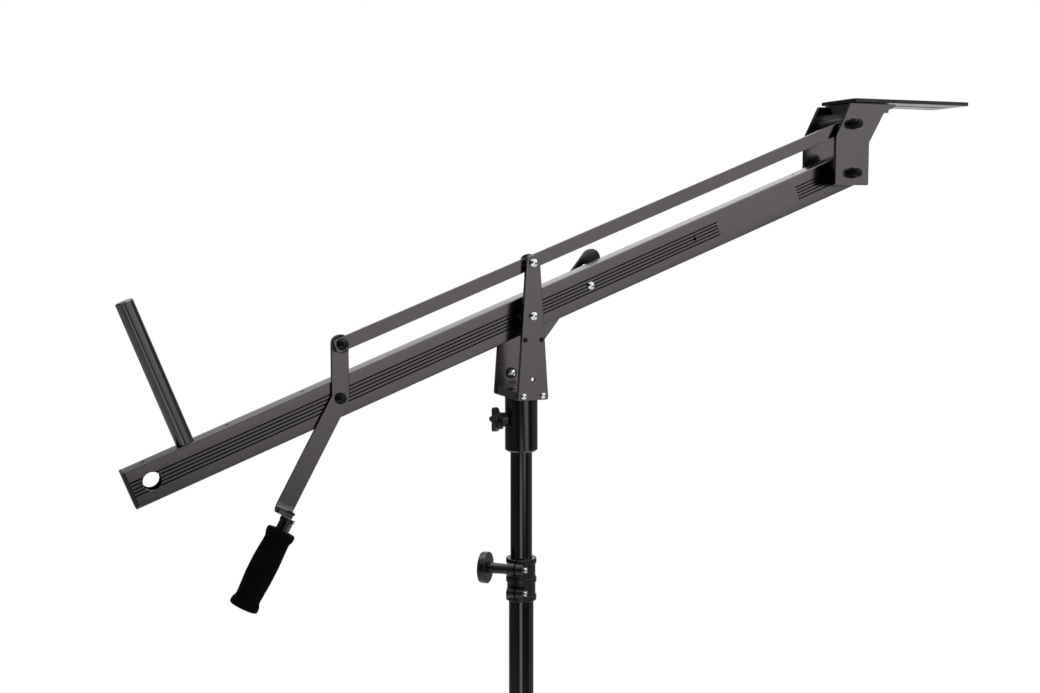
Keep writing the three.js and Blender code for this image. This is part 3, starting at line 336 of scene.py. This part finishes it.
def platePiece():
    build = bmesh.new()
    left, right = namePlate["from"], namePlate["to"]
    low, high, corner = namePlate["low"], namePlate["high"], namePlate["corner"]
    outline = []
    for cx, cz, start in ((right - corner, high - corner, 0), (left + corner, high - corner, 90),
                          (left + corner, low + corner, 180), (right - corner, low + corner, 270)):
        for step in range(5):
            angle = math.radians(start + step * 22.5)
            outline.append((cx + corner * math.cos(angle), cz + corner * math.sin(angle)))
    middle = ((left + right) / 2, (low + high) / 2)
    loops = []
    for depth, inset in ((0.02, 0), (-namePlate["thick"] + 0.15, 0), (-namePlate["thick"], 0.3)):
        loop = []
        for x, z in outline:
            x += inset * (1 if x < middle[0] else -1)
            z += inset * (1 if z < middle[1] else -1)
            loop.append(build.verts.new(onBoom(x, z, crane["boomNear"] + depth)))
        loops.append(loop)
    bridge(build, loops)
    build.faces.new(loops[0])
    build.faces.new(loops[-1])
    return meshFrom(build, "barePlate", smooth=False)


addPiece("boom_bare_plate", platePiece(), "boom", "anodised", mm(0, 0, 0))
print("crane: small pieces made")


# Foam grip: stretched over the handle rod, flared at both ends, fuller towards the hand
foam = {"start": 202, "length": 118.5, "rod": 10.2, "collar": 21, "waist": 17.6, "belly": 19.6, "around": 48,
        "lean": 1.0, "unevenness": 0.25}


def foamProfile(share):
    # share runs 0 at the upper end to 1 at the lower one
    length = foam["length"]
    fromEnd = min(share, 1 - share) * length
    body = foam["waist"] + (foam["belly"] - foam["waist"]) * math.sin(math.pi * min(1, max(0, share * 1.05))) ** 1.5
    flare = 1 / (1 + math.exp((fromEnd - 11.5) / 1.5))
    radius = body + (foam["collar"] - body) * flare
    rounding = min(1, fromEnd / 3.2)
    return radius - 3 * (1 - math.sqrt(max(0, 1 - (1 - rounding) ** 2)))


def foamMesh():
    build = bmesh.new()
    around = foam["around"]
    shares = [0.5 - 0.5 * math.cos(math.pi * step / 64) for step in range(65)]
    loops = []
    for share in shares:
        radius = foamProfile(share)
        loop = []
        for step in range(around):
            angle = 2 * math.pi * step / around
            side = max(0, -math.cos(angle)) * math.sin(math.pi * share) ** 2 * foam["lean"]
            spot = Vector((math.cos(angle), math.sin(angle), share * 4))
            local = radius + side + foam["unevenness"] * noise.noise(spot * 1.7)
            level = -foam["start"] - share * foam["length"]
            loop.append(build.verts.new(mm(local * math.cos(angle), local * math.sin(angle), level)))
        loops.append(loop)
    innerTop, innerLow = [[build.verts.new(mm(*ringPoint(foam["rod"], 2 * math.pi * step / around, False), level))
                           for step in range(around)]
                          for level in (-foam["start"] - 0.6, -foam["start"] - foam["length"] + 0.6)]
    bridge(build, [innerTop] + loops + [innerLow, innerTop])
    return meshFrom(build, "foamGrip")


grip = bpy.data.objects.new("foam_grip_soft", foamMesh())
bpy.context.collection.objects.link(grip)
turn = Matrix((handleX, (0, 1, 0), handleZ)).transposed().to_4x4()
grip.matrix_world = Matrix.Translation(onHandle(handle["x"], handle["y"], 0)) @ turn
grip.data.materials.append(materials["foam"])
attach(grip, "lever")
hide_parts("foam_grip")
print("crane: foam grip made")


# Studio
studio = {"floorRadius": 1.95, "floorFade": 0.9, "floorTone": 0.8, "upper": 1.15, "back": 1.3, "backLeast": 0.04,
          "side": 1.12, "sideRise": 2.0, "sideMost": 1.6, "strip": 1.55, "around": 0.2, "ground": 0.65,
          "dark": 0.03}


def maths(tree, operation, first, second):
    node = tree.nodes.new("ShaderNodeMath")
    node.operation = operation
    for socket, value in zip(node.inputs, (first, second)):
        if isinstance(value, (int, float)):
            socket.default_value = value
        else:
            tree.links.new(value, socket)
    return node.outputs["Value"]


def ramp(tree, source, start, end, low=0, high=1):
    node = remap(tree, source, low, high, start, end)
    node.interpolation_type = "SMOOTHSTEP"
    return node.outputs["Result"]


def buildFloor():
    around = 96
    build = bmesh.new()
    rim = [build.verts.new((studio["floorRadius"] * math.cos(2 * math.pi * step / around),
                            studio["floorRadius"] * math.sin(2 * math.pi * step / around), 0))
           for step in range(around)]
    build.faces.new(rim)
    mesh = bpy.data.meshes.new("floor")
    build.to_mesh(mesh)
    build.free()
    floor = bpy.data.objects.new("floor", mesh)
    bpy.context.collection.objects.link(floor)
    material, tree, shader, coords = newMaterial("floor")
    shader.inputs["Base Color"].default_value = (studio["floorTone"],) * 3 + (1,)
    shader.inputs["Roughness"].default_value = 0.9
    # fades out towards its rim
    away = tree.nodes.new("ShaderNodeVectorMath")
    away.operation = "LENGTH"
    tree.links.new(coords.outputs["Object"], away.inputs[0])
    clear = tree.nodes.new("ShaderNodeBsdfTransparent")
    mix = tree.nodes.new("ShaderNodeMixShader")
    tree.links.new(ramp(tree, away.outputs["Value"], studio["floorFade"], studio["floorRadius"]), mix.inputs["Fac"])
    tree.links.new(shader.outputs["BSDF"], mix.inputs[1])
    tree.links.new(clear.outputs["BSDF"], mix.inputs[2])
    tree.links.new(mix.outputs["Shader"], tree.nodes["Material Output"].inputs["Surface"])
    mesh.materials.append(material)


def addArea(name, place, aim, size, power):
    light = bpy.data.lights.new(name, "AREA")
    light.shape = "RECTANGLE"
    light.size, light.size_y = size
    light.energy = power
    lamp = bpy.data.objects.new(name, light)
    lamp.location = place
    lamp.rotation_euler = (Vector(aim) - Vector(place)).to_track_quat("-Z", "Y").to_euler()
    bpy.context.collection.objects.link(lamp)


def buildWorld():
    # soft boxes round the crane, as its dark mirror of a surface sees them; the camera itself sees white
    world = bpy.data.worlds.new("studio")
    bpy.context.scene.world = world
    world.use_nodes = True
    tree = world.node_tree
    tree.nodes.clear()
    output = tree.nodes.new("ShaderNodeOutputWorld")
    seen = tree.nodes.new("ShaderNodeBackground")
    seen.inputs["Color"].default_value = (1, 1, 1, 1)
    lit = tree.nodes.new("ShaderNodeBackground")
    coords = tree.nodes.new("ShaderNodeTexCoord")
    parts = tree.nodes.new("ShaderNodeSeparateXYZ")
    tree.links.new(coords.outputs["Generated"], parts.inputs["Vector"])
    forward = maths(tree, "MULTIPLY", parts.outputs["Y"], -1)
    azimuth = maths(tree, "MULTIPLY", maths(tree, "ARCTAN2", parts.outputs["X"], forward), 180 / math.pi)
    height = parts.outputs["Z"]
    # a tall box on the right, wider and brighter towards its top
    above = maths(tree, "MAXIMUM", height, -0.15)
    leaning = maths(tree, "SUBTRACT", azimuth, maths(tree, "MULTIPLY", maths(tree, "ADD", above, 0.15), 110))
    right = maths(tree, "MULTIPLY", ramp(tree, azimuth, -8, 12), ramp(tree, leaning, 33, 21))
    right = maths(tree, "MULTIPLY", right, ramp(tree, height, -0.23, -0.16))
    rising = maths(tree, "ADD", maths(tree, "MULTIPLY", height, studio["sideRise"]), studio["side"])
    rising = maths(tree, "MINIMUM", maths(tree, "MAXIMUM", rising, studio["side"]), studio["sideMost"])
    # a low strip behind the camera, and the wall behind the crane, bright on its right
    strip = maths(tree, "MULTIPLY", ramp(tree, azimuth, -41, -24), ramp(tree, azimuth, -3, -20))
    strip = maths(tree, "MULTIPLY", strip, ramp(tree, height, -0.16, -0.17))
    back = maths(tree, "MULTIPLY", ramp(tree, parts.outputs["X"], -0.15, 0.35), studio["back"])
    back = maths(tree, "ADD", back, studio["backLeast"])
    back = maths(tree, "MULTIPLY", back, ramp(tree, parts.outputs["Y"], 0.55, 0.85))
    # a faint light all round, but in front, and the far floor
    around = maths(tree, "MULTIPLY", ramp(tree, parts.outputs["Y"], -0.75, -0.3),
                   ramp(tree, parts.outputs["X"], -0.3, 0.3, 0.35))
    back = maths(tree, "ADD", back, maths(tree, "MULTIPLY", around, studio["around"]))
    ground = maths(tree, "MULTIPLY", ramp(tree, height, -0.32, -0.38), studio["ground"])
    back = maths(tree, "ADD", back, ground)
    level = maths(tree, "ADD", maths(tree, "MULTIPLY", right, rising), studio["dark"])
    level = maths(tree, "ADD", maths(tree, "MULTIPLY", strip, studio["strip"]), level)
    level = maths(tree, "ADD", back, level)
    upper = ramp(tree, height, 0.5, 0.75)
    level = maths(tree, "MULTIPLY", maths(tree, "SUBTRACT", 1, upper), level)
    level = maths(tree, "ADD", maths(tree, "MULTIPLY", upper, studio["upper"]), level)
    tree.links.new(level, lit.inputs["Strength"])
    path = tree.nodes.new("ShaderNodeLightPath")
    mix = tree.nodes.new("ShaderNodeMixShader")
    tree.links.new(path.outputs["Is Camera Ray"], mix.inputs["Fac"])
    tree.links.new(lit.outputs["Background"], mix.inputs[1])
    tree.links.new(seen.outputs["Background"], mix.inputs[2])
    tree.links.new(mix.outputs["Shader"], output.inputs["Surface"])


buildFloor()
buildWorld()
addArea("overhead", (0.0, 0.6, 3.4), (0, 0, 1.2), (2.4, 1.6), 30)
print("crane: studio built")

# Camera, matched to the photograph
lens = {"place": (-0.78765, -1.95308, 1.43864), "yaw": 21.91, "pitch": 5.09, "millimetres": 48.576}
cameraData = bpy.data.cameras.new("view")
cameraData.lens = lens["millimetres"]
cameraData.sensor_width = 36
camera = bpy.data.objects.new("view", cameraData)
camera.location = lens["place"]
camera.rotation_euler = (math.radians(90 - lens["pitch"]), 0, -math.radians(lens["yaw"]))
bpy.context.collection.objects.link(camera)
scene = bpy.context.scene
scene.camera = camera
scene.render.resolution_x, scene.render.resolution_y = 1040, 693
scene.view_settings.view_transform = "Standard"
